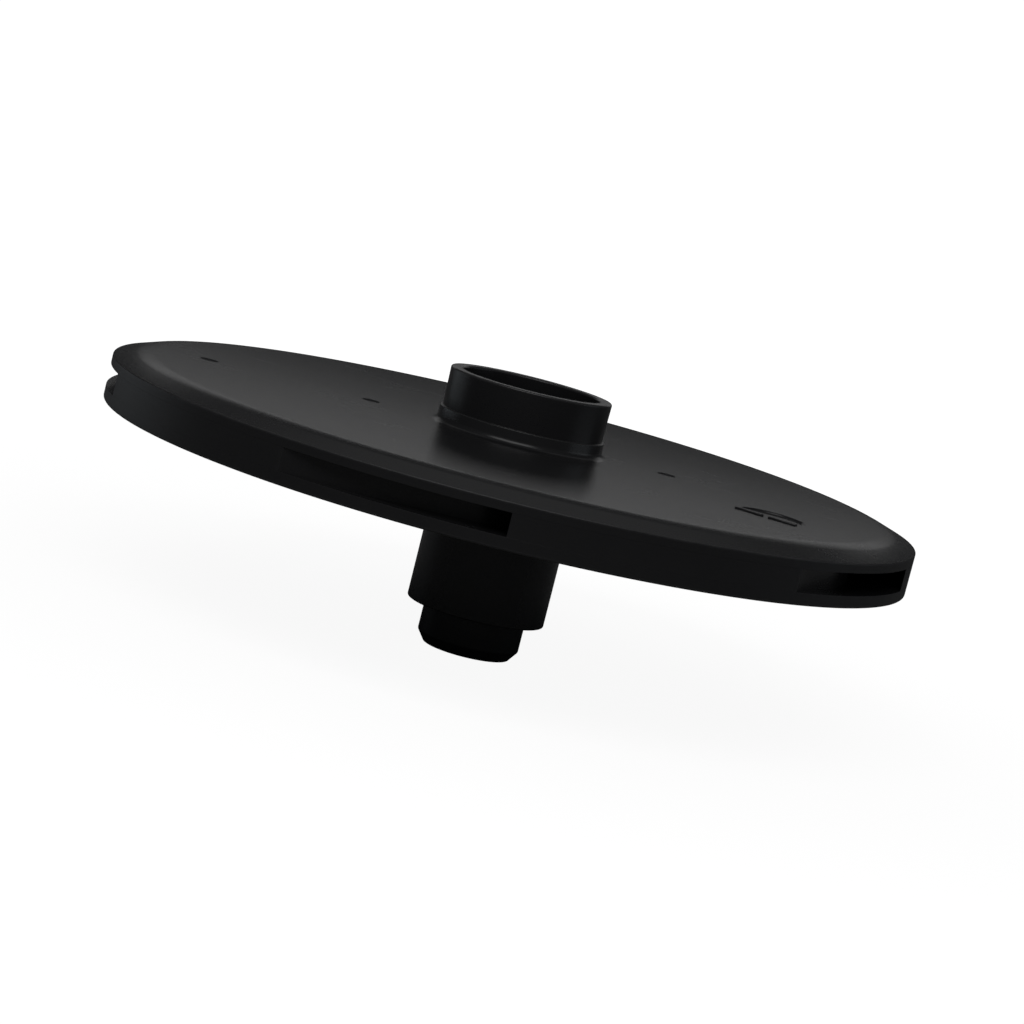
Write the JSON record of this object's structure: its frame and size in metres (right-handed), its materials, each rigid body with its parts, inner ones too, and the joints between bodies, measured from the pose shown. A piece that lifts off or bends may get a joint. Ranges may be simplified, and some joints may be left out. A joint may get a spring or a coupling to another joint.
{
  "type": "closed pump impeller",
  "caption": "Closed centrifugal pump impeller: two flat shrouds with spiral vanes between them, a suction eye collar and a stepped, threaded hub.",
  "frame": {"origin": "centre of the hub's end face, on the shaft axis", "axes": "+Z along the shaft axis from the hub's end to the suction eye; -Y towards the place where the first vane's thin tip meets the rim"},
  "size_m": [0.127, 0.127, 0.0429],
  "materials": {
    "shroud_plastic": "satin black glass-filled moulded plastic, fine grain, faint turning lines on the collar and the seal land",
    "insert_brass": "machined brass, cut thread, dulled by water"
  },
  "bodies": {
    "root": {"front_shroud": "shroud_plastic", "rear_shroud": "shroud_plastic", "vane_1": "shroud_plastic", "vane_2": "shroud_plastic", "vane_3": "shroud_plastic", "vane_4": "shroud_plastic", "vane_5": "shroud_plastic", "threaded_insert": "insert_brass"}
  },
  "joints": []
}
